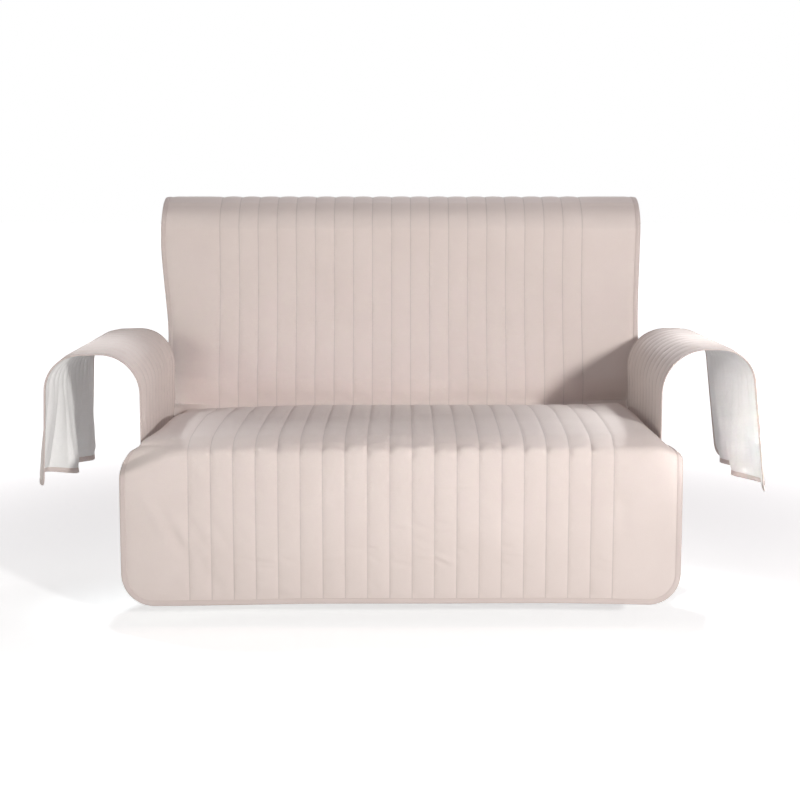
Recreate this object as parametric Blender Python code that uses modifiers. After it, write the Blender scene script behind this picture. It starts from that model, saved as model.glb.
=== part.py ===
# Quilted sofa slipcover, as it hangs on a two-seat sofa.
# One long quilted panel runs up the front, over the seat, up the backrest, over its top and down
# behind.  A quilted panel covers each arm, with its channels running across the arm, and hangs
# free on the outside.  A sewn binding edges each panel.
# Metres, +Z up, +X to the viewer's right, +Y away from the viewer.  The shapes are worked out with
# the floor at z = 0 and the front drop at y = 0, and one empty then brings the origin to the
# underside of the cloth on the middle of the backrest's top.

import math

import bmesh
import bpy
import numpy as np

COVER_NAME = "sofa_slipcover"

# Quilting: straight stitch lines with soft channels between them.
STITCH_PITCH = 0.048
MAIN_LINES = 20
ARM_LINES = 11
CLOTH_THICK = 0.0055
STITCHED_THICK = 0.0022
PLAIN_LOFT = 0.50
BINDING_WIDTH = 0.012
BINDING_THICK = 0.0030
SEAM_GAP = 0.0007

# Main panel.
PANEL_HALF = 0.603
CORNER_RADIUS = 0.070
CORNER_STEPS = 3
FOLD_START = 0.5383
FOLD_RADIUS = 0.024
FOLD_ARC_STEPS = 3
BORDER_PARTS = (0.12, 0.50, 1.00)
ROW_CLEARANCE = 0.020
TUCK_BELOW_ROLL = 0.085
TUCK_PAST_ROLL = 0.038
UNTUCK_ON_BACK = 0.070
GATHER_AT_ROLL = 0.50
GATHER_REACH = 0.055
TWIST_GAP = 0.0009
CREASE_FADES_FROM = 0.430
SEAT_SIDE_FALL = 0.016
SEAT_FROM = -0.060
SEAT_FULL = 0.080
CREASE_EASE = 0.020
FOOT_EASE = 0.030
SWELL_STILL_FROM = 0.400
SWELL_STILL = 0.520

# The main panel's run from hem to hem, in the plane x = 0: each corner, its rounding, the steps on
# that round and on the run that leads to it, and how far that run bows out of line.
# columns: name, y, z, radius, arc steps, run steps, bow
MAIN_RUN = (
    ("front_hem", 0.004, 0.047, 0.000, 0, 0, 0.000),
    ("seat_front", 0.004, 0.409, 0.050, 4, 5, -0.004),
    ("seat_back", 0.5880, 0.405, 0.012, 2, 4, -0.005),
    ("tuck_front", 0.5890, 0.376, 0.0068, 2, 1, 0.000),
    ("tuck_back", 0.6040, 0.376, 0.0068, 2, 1, 0.000),
    ("back_foot", 0.6120, 0.415, 0.030, 1, 1, 0.000),
    ("top_front", 0.6760, 0.9160, 0.042, 3, 5, 0.036),
    ("top_rear", 0.8580, 0.9160, 0.050, 3, 1, -0.002),
    ("rear_hem", 0.8680, 0.490, 0.000, 0, 3, 0.004),
)

# Soft unevenness of the main panel.
# columns: place across, place along, half size across, half size along, height
SWELLS = (
    (-0.52, 0.18, 0.07, 0.16, 0.0050),
    (-0.30, 0.10, 0.16, 0.12, -0.0035),
    (0.05, 0.22, 0.18, 0.12, 0.0040),
    (0.34, 0.12, 0.14, 0.14, -0.0040),
    (0.52, 0.24, 0.07, 0.12, 0.0050),
    (-0.25, 0.62, 0.22, 0.16, -0.0050),
    (0.22, 0.70, 0.20, 0.14, 0.0040),
    (-0.42, 1.20, 0.16, 0.14, 0.0045),
    (0.00, 1.32, 0.24, 0.12, -0.0040),
    (0.40, 1.18, 0.16, 0.16, 0.0045),
)

# Arm panels, from the front rim to the rear edge.
ARM_FRONT = 0.077
ARM_REAR = 0.645
ARM_BACK_CLEARANCE = 0.014
ARM_CREASE_CLEARANCE = 0.034
ARM_CREASE_FROM = 0.400
ARM_CREASE_TO = 0.480
ARM_CORNER_RADIUS = 0.032
ARM_CORNER_STEPS = 2
ARM_ROW_CLEARANCE = 0.015
FLAP_DROP = 0.225
FLAP_GROWTH = 1.4
FLAP_OVERRUN = 1.1

# Each section runs from beside the seat up, over the arm and down to the outer hem.
# columns: x, z, radius, arc steps, run steps, bow
LEFT_ARM_SECTION = (
    (0.5686, 0.360, 0.000, 0, 0, 0.000),
    (0.5686, 0.396, 0.000, 0, 1, 0.000),
    (0.5690, 0.5805, 0.097, 4, 2, 0.000),
    (0.7730, 0.5805, 0.077, 4, 1, 0.000),
    (0.7790, 0.2800, 0.000, 0, 6, 0.000),
)
RIGHT_ARM_SECTION = (
    (0.5686, 0.360, 0.000, 0, 0, 0.000),
    (0.5686, 0.396, 0.000, 0, 1, 0.000),
    (0.5690, 0.5905, 0.097, 4, 2, 0.000),
    (0.7620, 0.5905, 0.077, 4, 1, 0.000),
    (0.7950, 0.2750, 0.000, 0, 6, 0.000),
)

# Rise of each arm's top from the front rim to the rear edge.
LEFT_ARM_RISE = 0.009
RIGHT_ARM_RISE = 0.001

# The hanging flaps' folds.
# columns: y, the hem's swing outwards, its rise
LEFT_FLAP = (
    (0.077, 0.001, 0.002),
    (0.130, 0.020, 0.016),
    (0.200, 0.026, 0.022),
    (0.280, -0.018, 0.006),
    (0.350, -0.020, -0.004),
    (0.420, 0.016, -0.006),
    (0.500, 0.024, -0.008),
    (0.570, -0.012, -0.010),
    (0.645, 0.006, -0.012),
)
RIGHT_FLAP = (
    (0.077, 0.000, -0.004),
    (0.150, 0.014, 0.004),
    (0.205, 0.022, 0.002),
    (0.265, -0.026, 0.006),
    (0.330, -0.014, 0.002),
    (0.415, 0.024, -0.002),
    (0.485, -0.016, 0.002),
    (0.560, 0.020, -0.002),
    (0.645, 0.002, -0.004),
)

# Origin: the underside of the cloth, on the middle of the backrest's top.
ORIGIN_Y = 0.767
ORIGIN_Z = 0.918

SHEET_COLOUR = (0.690, 0.610, 0.562, 1.0)
BINDING_COLOUR = (0.640, 0.555, 0.505, 1.0)
SHEET_ROUGHNESS = 0.82
BINDING_ROUGHNESS = 0.70


def clear_scene():
    for obj in list(bpy.data.objects):
        bpy.data.objects.remove(obj, do_unlink=True)


def make_material(name, colour, roughness):
    material = bpy.data.materials.new(name)
    material.use_nodes = True
    shader = material.node_tree.nodes["Principled BSDF"]
    shader.inputs["Base Color"].default_value = colour
    shader.inputs["Roughness"].default_value = roughness
    shader.inputs["Metallic"].default_value = 0.0
    return material


def smoothstep(low, high, value):
    part = np.clip((value - low) / (high - low), 0.0, 1.0)
    return part * part * (3.0 - 2.0 * part)


def bowed_run(start, end, steps, bow):
    """Points from start to end, start left out, pushed sideways by up to bow at the middle."""
    part = np.linspace(0.0, 1.0, steps + 1)[1:, None]
    side = np.array([start[1] - end[1], end[0] - start[0]])
    side = side / max(np.linalg.norm(side), 1e-9)
    return start + (end - start) * part - side * bow * 4.0 * part * (1.0 - part)


def rounded_path(table):
    """A polyline with rounded corners, from rows of a corner's two coordinates, its radius, its
    arc steps, the run's steps and the run's bow."""
    corners = np.array([row[:2] for row in table])
    points = [corners[0]]
    last = len(table) - 1
    for index in range(1, last + 1):
        radius, arc_steps, run_steps, bow = table[index][2:]
        corner = corners[index]
        if index == last or radius == 0.0:
            points.extend(bowed_run(points[-1], corner, run_steps, bow))
            continue
        towards = corner - corners[index - 1]
        onwards = corners[index + 1] - corner
        towards = towards / np.linalg.norm(towards)
        onwards = onwards / np.linalg.norm(onwards)
        turn = math.atan2(towards[0] * onwards[1] - towards[1] * onwards[0], towards @ onwards)
        reach = radius * math.tan(abs(turn) / 2.0)
        arc_start = corner - towards * reach
        points.extend(bowed_run(points[-1], arc_start, run_steps, bow))
        side = np.array([-towards[1], towards[0]]) * math.copysign(1.0, turn)
        centre = arc_start + side * radius
        for step in range(1, arc_steps + 1):
            angle = turn * step / arc_steps
            spoke = arc_start - centre
            cosine, sine = math.cos(angle), math.sin(angle)
            turned = np.array([
                spoke[0] * cosine - spoke[1] * sine,
                spoke[0] * sine + spoke[1] * cosine,
            ])
            points.append(centre + turned)
    return np.array(points)


def path_lengths(points):
    steps = np.linalg.norm(np.diff(points, axis=0), axis=1)
    return np.concatenate([[0.0], np.cumsum(steps)])


def along_path(points, lengths, distance):
    first = np.interp(distance, lengths, points[:, 0])
    second = np.interp(distance, lengths, points[:, 1])
    return first, second


MAIN_PATH = rounded_path([row[1:] for row in MAIN_RUN])
MAIN_LENGTHS = path_lengths(MAIN_PATH)
MAIN_LENGTH = MAIN_LENGTHS[-1]


def main_station(name):
    """Distance from the front hem at which the panel's run passes nearest to a named corner."""
    corner = np.array([row[1:3] for row in MAIN_RUN if row[0] == name][0])
    return MAIN_LENGTHS[np.argmin(np.linalg.norm(MAIN_PATH - corner, axis=1))]


SEAT_FRONT_AT = main_station("seat_front")
SEAT_BACK_AT = main_station("seat_back")
BACK_FOOT_AT = main_station("back_foot")


def main_surface(across, along):
    """The underside of the main panel: across is the flat distance from its middle line and along
    the distance from the front hem.  Between the arms the side border bends down beside the seat,
    its flat width kept, and it lies flat again on the drop and on the backrest.  The deep crease
    between seat and backrest runs out before it reaches the border."""
    depth, height = along_path(MAIN_PATH, MAIN_LENGTHS, along)
    ends = np.array([SEAT_BACK_AT, BACK_FOOT_AT])
    start, end = np.array(along_path(MAIN_PATH, MAIN_LENGTHS, ends)).T
    part = np.clip((along - SEAT_BACK_AT) / (BACK_FOOT_AT - SEAT_BACK_AT), 0.0, 1.0)
    shallow = smoothstep(CREASE_FADES_FROM, FOLD_START, np.abs(across))
    shallow = np.where((along > SEAT_BACK_AT) & (along < BACK_FOOT_AT), shallow, 0.0)
    depth = depth + (start[0] + (end[0] - start[0]) * part - depth) * shallow
    height = height + (start[1] + (end[1] - start[1]) * part - height) * shallow
    tucked = smoothstep(SEAT_FRONT_AT - TUCK_BELOW_ROLL, SEAT_FRONT_AT + TUCK_PAST_ROLL, along)
    tucked = tucked * (1.0 - smoothstep(SEAT_BACK_AT, BACK_FOOT_AT + UNTUCK_ON_BACK, along))
    bend = np.maximum(tucked * math.pi / 2.0, 1e-6)
    arc = FOLD_RADIUS * math.pi / 2.0
    beyond = np.maximum(np.abs(across) - FOLD_START, 0.0)
    on_arc = np.minimum(beyond, arc)
    straight = beyond - on_arc
    outwards = arc / bend * np.sin(bend * on_arc / arc) + straight * np.cos(bend)
    downwards = arc / bend * (1.0 - np.cos(bend * on_arc / arc)) + straight * np.sin(bend)
    from_roll = (along - SEAT_FRONT_AT - FOLD_RADIUS) / GATHER_REACH
    downwards = downwards * (1.0 - GATHER_AT_ROLL * np.exp(-from_roll ** 2))
    inner = np.minimum(np.abs(across), FOLD_START)
    side = np.sign(across) * (inner + outwards)
    on_seat = smoothstep(SEAT_FRONT_AT + SEAT_FROM, SEAT_FRONT_AT + SEAT_FULL, along)
    on_seat = on_seat * (1.0 - smoothstep(SEAT_BACK_AT + SEAT_FROM, SEAT_BACK_AT, along))
    fall = SEAT_SIDE_FALL * on_seat * (inner / FOLD_START) ** 4
    swell = np.zeros_like(across)
    for place, run, half_across, half_along, rise in SWELLS:
        spot = ((across - place) / half_across) ** 2 + ((along - run) / half_along) ** 2
        swell = swell + rise * np.exp(-spot)
    swell = swell * (1.0 - tucked * smoothstep(SWELL_STILL_FROM, SWELL_STILL, np.abs(across)))
    upright = 1.0 - on_seat
    return side, depth - swell * upright, height - downwards - fall + swell * on_seat


def quilt_columns(lines, centre, border):
    """Flat places of the stitch lines and the channels' crowns, with the border's own places."""
    reach = (lines - 1) / 2.0 * STITCH_PITCH
    stitched = [index * STITCH_PITCH - reach for index in range(lines)]
    crowns = [place + STITCH_PITCH / 2.0 for place in stitched[:-1]]
    places = stitched + crowns
    places += [-reach - step for step in border]
    places += [reach + step for step in border]
    return centre + np.array(sorted(places))


def loft_weight(places, lines, centre):
    """0 on a stitch line, 1 on a channel's crown, and in between on the plain border."""
    reach = (lines - 1) / 2.0
    steps = np.abs(places - centre) / STITCH_PITCH
    channel = np.abs(np.sin(math.pi * (steps - reach)))
    return np.where(steps > reach + 0.05, PLAIN_LOFT, channel)


def walled_surface(name, points, faces, thick, material, collection, parent):
    """An open surface from points and faces, given its wall by Solidify."""
    mesh = bpy.data.meshes.new(name)
    build = bmesh.new()
    corners = [build.verts.new(point) for point in points]
    for face in faces:
        build.faces.new([corners[index] for index in face])
    build.to_mesh(mesh)
    build.free()
    mesh.shade_smooth()
    mesh.materials.append(material)
    surface = bpy.data.objects.new(name, mesh)
    collection.objects.link(surface)
    surface.parent = parent
    wall = surface.modifiers.new("wall", "SOLIDIFY")
    wall.thickness = thick
    wall.offset = 1.0
    wall.use_rim = True
    wall.use_even_offset = True
    wall.use_quality_normals = True
    return surface


def panel_object(name, grid, weights, material, collection, parent, flip):
    """A panel from a grid of points (rows, columns, 3), thick where its weights are high."""
    rows, columns = grid.shape[:2]
    faces = []
    for row in range(rows - 1):
        for column in range(columns - 1):
            near = row * columns + column
            far = near + columns
            face = [near, near + 1, far + 1, far]
            faces.append(face[::-1] if flip else face)
    points = grid.reshape(-1, 3)
    panel = walled_surface(name, points, faces, CLOTH_THICK, material, collection, parent)
    loft = panel.vertex_groups.new(name="loft")
    for index, weight in enumerate(weights.reshape(-1)):
        loft.add([index], float(weight), "REPLACE")
    wall = panel.modifiers["wall"]
    wall.vertex_group = loft.name
    wall.thickness_vertex_group = STITCHED_THICK / CLOTH_THICK
    return panel


def binding_object(name, inner, outer, closed, material, collection, parent, flip):
    """A strip of tape between two rows of points."""
    count = len(inner)
    faces = []
    for index in range(count if closed else count - 1):
        after = (index + 1) % count
        face = [index, count + index, count + after, after]
        faces.append(face[::-1] if flip else face)
    points = np.concatenate([inner, outer])
    return walled_surface(name, points, faces, BINDING_THICK, material, collection, parent)


def main_rows():
    """Distances from the front hem at which the main panel has a row, close at its corners."""
    turn = np.linspace(0.0, math.pi / 2.0, CORNER_STEPS + 1)
    offsets = BINDING_WIDTH + SEAM_GAP + (CORNER_RADIUS - BINDING_WIDTH) * (1.0 - np.cos(turn))
    from_hem = np.minimum(MAIN_LENGTHS, MAIN_LENGTH - MAIN_LENGTHS)
    inner = MAIN_LENGTHS[from_hem > CORNER_RADIUS + ROW_CLEARANCE]
    return np.concatenate([offsets, inner, MAIN_LENGTH - offsets[::-1]])


def rounded_half_width(along):
    """Half width of the main panel without its binding, at a distance from the front hem."""
    inset = BINDING_WIDTH + SEAM_GAP
    end = np.minimum(along, MAIN_LENGTH - along)
    rise = np.clip(CORNER_RADIUS - end, 0.0, CORNER_RADIUS - inset)
    curve = np.sqrt((CORNER_RADIUS - inset) ** 2 - rise ** 2)
    return PANEL_HALF - CORNER_RADIUS + curve


def main_layout():
    """Flat places of the main panel's grid: across and along, one entry for each point."""
    arc = FOLD_RADIUS * math.pi / 2.0
    line_edge = (MAIN_LINES - 1) / 2.0 * STITCH_PITCH
    to_fold = FOLD_START - line_edge
    border = [to_fold * share for share in BORDER_PARTS]
    border += [to_fold + arc * step / FOLD_ARC_STEPS for step in range(1, FOLD_ARC_STEPS + 1)]
    edge = PANEL_HALF - BINDING_WIDTH - SEAM_GAP - line_edge
    border.append(edge)
    places = quilt_columns(MAIN_LINES, 0.0, border)
    across, along = np.meshgrid(places, main_rows())
    limit = rounded_half_width(along)
    spread = line_edge + (np.abs(across) - line_edge) * (limit - line_edge) / edge
    across = np.where(np.abs(across) > line_edge, np.sign(across) * spread, across)
    return across, along


def main_panel(material, collection, parent):
    across, along = main_layout()
    grid = np.stack(main_surface(across, along), axis=-1)
    weights = loft_weight(across, MAIN_LINES, 0.0)
    in_crease = smoothstep(SEAT_BACK_AT - CREASE_EASE, SEAT_BACK_AT, along)
    in_crease = in_crease * (1.0 - smoothstep(BACK_FOOT_AT, BACK_FOOT_AT + FOOT_EASE, along))
    arc = FOLD_RADIUS * math.pi / 2.0
    beside = smoothstep(FOLD_START, FOLD_START + arc, np.abs(across))
    weights = weights * (1.0 - in_crease) * (1.0 - beside)
    return panel_object("main_panel", grid, weights, material, collection, parent, False)


def edge_directions(line, closed):
    """Sideways unit directions at each place of a line of flat places, to the line's right."""
    if closed:
        before = np.roll(line, 1, axis=0)
        after = np.roll(line, -1, axis=0)
    else:
        before = np.concatenate([line[:1], line[:-1]])
        after = np.concatenate([line[1:], line[-1:]])
    steps = []
    for start, end in ((before, line), (line, after)):
        step = end - start
        length = np.linalg.norm(step, axis=1, keepdims=True)
        steps.append(np.divide(step, length, out=np.zeros_like(step), where=length > 0.0))
    heading = steps[0] + steps[1]
    heading = heading / np.linalg.norm(heading, axis=1, keepdims=True)
    return np.stack([heading[:, 1], -heading[:, 0]], axis=1)


def binding_rows(line, closed, gap):
    """The two edges of a binding that runs along a panel's edge, a seam's gap away from it."""
    right = edge_directions(line, closed)
    return line + right * gap, line + right * (gap + BINDING_WIDTH)


def main_binding(material, collection, parent):
    across, along = main_layout()
    flat = np.stack([across, along], axis=-1)
    loop = np.concatenate([flat[0, :-1], flat[:-1, -1], flat[-1, :0:-1], flat[:0:-1, 0]])
    from_roll = (loop[:, 1:] - SEAT_FRONT_AT) / GATHER_REACH
    gap = SEAM_GAP + TWIST_GAP * np.exp(-from_roll ** 2)
    rows = []
    for line in binding_rows(loop, True, gap):
        rows.append(np.stack(main_surface(line[:, 0], line[:, 1]), axis=-1))
    return binding_object("main_binding", rows[0], rows[1], True, material, collection, parent, False)


def back_face(height):
    """Depth of the main panel's underside on the backrest at a height."""
    rising = MAIN_PATH[MAIN_LENGTHS >= BACK_FOOT_AT]
    rising = rising[: int(np.argmax(rising[:, 1])) + 1]
    return np.interp(height, rising[:, 1], rising[:, 0])


def arm_surface(section, flap, climb, along, around):
    """The underside of an arm panel: along is the flat distance from its front rim and around the
    distance over the arm from the lower edge beside the seat.  The panel ends short of the crease
    and of the backrest.  Past the arm it hangs free, and its folds grow towards the hem."""
    path = rounded_path(section)
    lengths = path_lengths(path)
    side, height = along_path(path, lengths, around)
    low = 1.0 - smoothstep(ARM_CREASE_FROM, ARM_CREASE_TO, height)
    rear = back_face(height) - ARM_BACK_CLEARANCE - ARM_CREASE_CLEARANCE * low
    free = side > section[2][0] + section[2][2]
    rear = np.where(free, ARM_REAR, np.minimum(ARM_REAR, rear))
    depth = ARM_FRONT + along / (ARM_REAR - ARM_FRONT) * (rear - ARM_FRONT)
    hang_from = lengths[-1] - FLAP_DROP
    hang = np.clip((around - hang_from) / FLAP_DROP, 0.0, FLAP_OVERRUN) ** FLAP_GROWTH
    table = np.array(flap)
    swing = np.interp(depth, table[:, 0], table[:, 1])
    rise = np.interp(depth, table[:, 0], table[:, 2])
    on_top = smoothstep(ARM_CREASE_TO, section[2][1], height)
    climbed = climb * on_top * along / (ARM_REAR - ARM_FRONT)
    return side + swing * hang, depth, height + rise * hang + climbed


def arm_layout(section):
    """Flat places of an arm panel's grid: along the arm and around it, one for each point."""
    length = ARM_REAR - ARM_FRONT
    inset = BINDING_WIDTH + SEAM_GAP
    line_edge = (ARM_LINES - 1) / 2.0 * STITCH_PITCH
    edge = length / 2.0 - inset - line_edge
    places = quilt_columns(ARM_LINES, 0.0, [edge / 2.0, edge])
    lengths = path_lengths(rounded_path(section))
    turn = np.linspace(math.pi / 2.0, 0.0, ARM_CORNER_STEPS + 1)
    ends = lengths[-1] - inset - (ARM_CORNER_RADIUS - inset) * (1.0 - np.cos(turn))
    upper = lengths[lengths < ends[0] - ARM_ROW_CLEARANCE]
    along, around = np.meshgrid(places, np.concatenate([upper, ends]))
    rise = np.clip(around - lengths[-1] + ARM_CORNER_RADIUS, 0.0, ARM_CORNER_RADIUS - inset)
    limit = length / 2.0 - ARM_CORNER_RADIUS + np.sqrt((ARM_CORNER_RADIUS - inset) ** 2 - rise ** 2)
    spread = line_edge + (np.abs(along) - line_edge) * (limit - line_edge) / edge
    along = np.where(np.abs(along) > line_edge, np.sign(along) * spread, along)
    return along + length / 2.0, around


def arm_panel(name, section, flap, climb, mirror, material, collection, parent):
    along, around = arm_layout(section)
    side, depth, height = arm_surface(section, flap, climb, along, around)
    grid = np.stack([side * mirror, depth, height], axis=-1)
    weights = loft_weight(along, ARM_LINES, (ARM_REAR - ARM_FRONT) / 2.0)
    seam = path_lengths(rounded_path(section))
    weights = weights * smoothstep(seam[1], seam[2], around)
    return panel_object(name, grid, weights, material, collection, parent, mirror > 0)


def arm_binding(name, section, flap, climb, mirror, material, collection, parent):
    """Edges the front rim, the hem and the rear edge."""
    along, around = arm_layout(section)
    flat = np.stack([along, around], axis=-1)
    edge = np.concatenate([flat[:-1, 0], flat[-1, :-1], flat[::-1, -1]])[::-1]
    rows = []
    for line in binding_rows(edge, False, SEAM_GAP):
        side, depth, height = arm_surface(section, flap, climb, line[:, 0], line[:, 1])
        rows.append(np.stack([side * mirror, depth, height], axis=-1))
    return binding_object(name, rows[0], rows[1], False, material, collection, parent, mirror > 0)


def build_cover():
    clear_scene()
    collection = bpy.data.collections.new(COVER_NAME)
    bpy.context.scene.collection.children.link(collection)
    frame = bpy.data.objects.new(COVER_NAME + "_frame", None)
    frame.location = (0.0, -ORIGIN_Y, -ORIGIN_Z)
    collection.objects.link(frame)
    cloth = make_material("quilted_cloth", SHEET_COLOUR, SHEET_ROUGHNESS)
    tape = make_material("binding_tape", BINDING_COLOUR, BINDING_ROUGHNESS)
    main_panel(cloth, collection, frame)
    main_binding(tape, collection, frame)
    arms = (
        ("left_arm", LEFT_ARM_SECTION, LEFT_FLAP, LEFT_ARM_RISE, -1.0),
        ("right_arm", RIGHT_ARM_SECTION, RIGHT_FLAP, RIGHT_ARM_RISE, 1.0),
    )
    for name, section, flap, climb, mirror in arms:
        arm_panel(name + "_panel", section, flap, climb, mirror, cloth, collection, frame)
        arm_binding(name + "_binding", section, flap, climb, mirror, tape, collection, frame)
    bpy.context.view_layer.update()


build_cover()
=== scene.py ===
# Looks of a quilted sofa slipcover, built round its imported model.
# Sizes are metres, but millimetres in the tables that go through the function metres.  Shapes are
# worked out with the floor at z = 0 and the front drop at y = 0, and toRow moves them to the model's
# own origin, under the cloth at the top of its back.
import math

import bpy
import numpy as np
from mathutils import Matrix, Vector


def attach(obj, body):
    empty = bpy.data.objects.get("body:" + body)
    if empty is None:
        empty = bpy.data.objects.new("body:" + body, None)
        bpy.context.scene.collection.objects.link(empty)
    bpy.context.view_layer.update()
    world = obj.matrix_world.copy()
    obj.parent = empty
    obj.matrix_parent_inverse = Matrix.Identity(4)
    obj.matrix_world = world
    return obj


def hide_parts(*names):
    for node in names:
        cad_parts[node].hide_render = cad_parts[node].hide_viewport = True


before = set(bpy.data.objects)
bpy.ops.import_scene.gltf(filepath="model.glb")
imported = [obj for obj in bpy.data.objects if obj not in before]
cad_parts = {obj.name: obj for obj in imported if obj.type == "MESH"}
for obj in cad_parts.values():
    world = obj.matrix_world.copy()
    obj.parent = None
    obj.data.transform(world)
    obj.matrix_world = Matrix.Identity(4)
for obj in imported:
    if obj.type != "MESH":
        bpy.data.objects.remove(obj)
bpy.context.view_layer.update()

origin = np.array([0.0, 0.767, 0.918])

quilting = {
    "pitch": 0.048,
    "mainLines": 20,
    "armLines": 11,
    "atStitch": 0.0022,       # thickness of the sewn layers at a line
    "atCrown": 0.0053,        # and in the middle of a channel
    "plain": 0.0040,          # and on the unquilted border
    "underTape": 0.0021,
    "valleyDeep": 0.0009,     # the narrow valley that the thread pulls in
    "valleyWide": 0.0022,
    "liningLow": 0.00035,     # the lining lies between these two heights
    "liningHigh": 0.00065,
    "paddingLow": 0.00080,    # underside of the face cloth and wadding
    "thinnest": 0.00130,      # where the face is pulled in further, the layers under it go with it
    "puckerHigh": 0.0010,
    "puckerFrom": 0.0022,     # puckers start within this of a line and fade over puckerReach
    "puckerReach": 0.0095,
    "puckerKnots": (0.0085, 0.023, 0.095),    # spacing of the short, middle and slow unevenness
    "puckerShares": (0.45, 0.75),             # of the short and the middle one
    "puckerLife": (0.55, 0.75, 1.3),          # the slow one's level, swing and upper limit
    "borderSwell": 0.010,     # the border beside the last line fills out over this
    "stitchLift": 0.0001,
    "stitchedTo": 0.016,      # the lines end this far from the tape's outer fold
}


def metres(table):
    return np.array(table) / 1000.0


def smoothStep(low, high, value):  # 3t^2 - 2t^3 of the clipped share t
    share = np.clip((value - low) / (high - low), 0.0, 1.0)
    return share * share * (3.0 - 2.0 * share)


def softCurve(places, values, at):  # cubic Hermite through a table's points, slopes from neighbours
    places = np.asarray(places, float)
    values = np.asarray(values, float)
    slopes = np.gradient(values, places)
    slot = np.clip(np.searchsorted(places, at) - 1, 0, len(places) - 2)
    span = places[slot + 1] - places[slot]
    t = np.clip((at - places[slot]) / span, 0.0, 1.0)
    rise = (1 + 2 * t) * (1 - t) ** 2 * values[slot] + t * t * (3 - 2 * t) * values[slot + 1]
    bend = t * (1 - t) ** 2 * slopes[slot] - t * t * (1 - t) * slopes[slot + 1]
    return rise + span * bend


def bowedRun(start, end, step, bow):  # a straight run pushed sideways by bow * 4t(1 - t)
    count = max(int(np.linalg.norm(end - start) / step), 1)
    t = np.linspace(0.0, 1.0, count + 1)[1:, None]
    side = np.array([start[1] - end[1], end[0] - start[0]])
    side = side / max(np.linalg.norm(side), 1e-9)
    return start + (end - start) * t - side * bow * 4.0 * t * (1.0 - t)


def roundedPath(table, step):
    # runs between corners, each corner replaced by an arc of its radius; rows: x, y, radius, bow
    corners = table[:, :2]
    parts = [corners[:1]]
    last = len(table) - 1
    for index in range(1, last + 1):
        radius, bow = table[index][2:]
        corner = corners[index]
        if index == last or radius == 0.0:
            parts.append(bowedRun(parts[-1][-1], corner, step, bow))
            continue
        towards = (corner - corners[index - 1]) / np.linalg.norm(corner - corners[index - 1])
        onwards = (corners[index + 1] - corner) / np.linalg.norm(corners[index + 1] - corner)
        turn = math.atan2(towards[0] * onwards[1] - towards[1] * onwards[0], towards @ onwards)
        arcStart = corner - towards * radius * math.tan(abs(turn) / 2.0)
        parts.append(bowedRun(parts[-1][-1], arcStart, step, bow))
        side = np.array([-towards[1], towards[0]]) * math.copysign(1.0, turn)
        centre = arcStart + side * radius
        count = max(int(radius * abs(turn) / step), 4)
        angle = turn * np.arange(1, count + 1) / count
        spoke = arcStart - centre
        parts.append(centre + np.stack([
            spoke[0] * np.cos(angle) - spoke[1] * np.sin(angle),
            spoke[0] * np.sin(angle) + spoke[1] * np.cos(angle)], axis=1))
    points = np.concatenate(parts)
    return points, distancesOn(points)


def onPath(path, distance):  # the point at a distance along a path
    points, lengths = path
    return np.interp(distance, lengths, points[:, 0]), np.interp(distance, lengths, points[:, 1])


def creaseField(u, v, creases):
    # sum of soft ridges: height * exp(-(distance to the crease's line / width)^2), tapered at its ends
    total = np.zeros_like(u)
    for startU, startV, endU, endV, width, height in creases:
        runU, runV = endU - startU, endV - startV
        reach = math.hypot(runU, runV)
        t = ((u - startU) * runU + (v - startV) * runV) / reach ** 2
        inside = np.clip(t, 0.0, 1.0)
        away = np.hypot(u - startU - inside * runU, v - startV - inside * runV)
        total += height * np.exp(-(away / width) ** 2) * (1.0 - 0.6 * (2.0 * inside - 1.0) ** 4)
    return total


def knotNoise(count, spacing, length, seed):
    # smooth noise along each of count lines: random knots a spacing apart, joined by a soft curve
    random = np.random.default_rng(seed)
    knots = random.uniform(-1.0, 1.0, (count, int(length / spacing) + 4))

    def sample(line, distance):
        place = np.clip(distance, 0.0, length) / spacing
        slot = place.astype(int)
        t = place - slot
        t = t * t * (3.0 - 2.0 * t)
        return knots[line, slot] * (1.0 - t) + knots[line, slot + 1] * t

    return sample


def quiltRelief(sideways, along, lines, loft, length, seed, pinch=1.0):
    # height of the face cloth over its underside: a parabola between stitch lines, a narrow valley
    # at each line, and small puckers that start at the line and fade within puckerReach
    steps = sideways / quilting["pitch"] + (lines - 1) / 2.0
    nearest = np.clip(np.rint(steps), 0, lines - 1)
    away = np.abs(steps - nearest) * quilting["pitch"]
    quilted = (steps > 0.0) & (steps < lines - 1)
    share = np.clip(2.0 * away / quilting["pitch"], 0.0, 1.0)
    crown = quilting["atStitch"] + (quilting["atCrown"] - quilting["atStitch"]) * loft
    channel = quilting["atStitch"] + (crown - quilting["atStitch"]) * (1.0 - (1.0 - share) ** 2)
    beside = 1.0 - np.exp(-away / quilting["borderSwell"])
    border = quilting["atStitch"] + (quilting["plain"] - quilting["atStitch"]) * beside
    height = np.where(quilted, channel, border)
    height -= quilting["valleyDeep"] * pinch * np.exp(-(away / quilting["valleyWide"] / pinch ** 0.5) ** 2)
    line = (2 * nearest + (steps > nearest)).astype(int)
    short, middle, slow = (knotNoise(2 * lines, spacing, length, seed + index)(line, along)
                           for index, spacing in enumerate(quilting["puckerKnots"]))
    level, swing, limit = quilting["puckerLife"]
    lively = np.clip(level + swing * slow, 0.0, limit)
    pucker = quilting["puckerShares"][0] * short + quilting["puckerShares"][1] * middle
    fade = np.exp(-away / quilting["puckerReach"]) * smoothStep(0.0, quilting["puckerFrom"], away)
    return height, quilting["puckerHigh"] * pucker * lively * fade


def sunkUnder(height):  # how far the layers under the face are drawn in below their own level
    return np.maximum(quilting["thinnest"] - height, 0.0)


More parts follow.
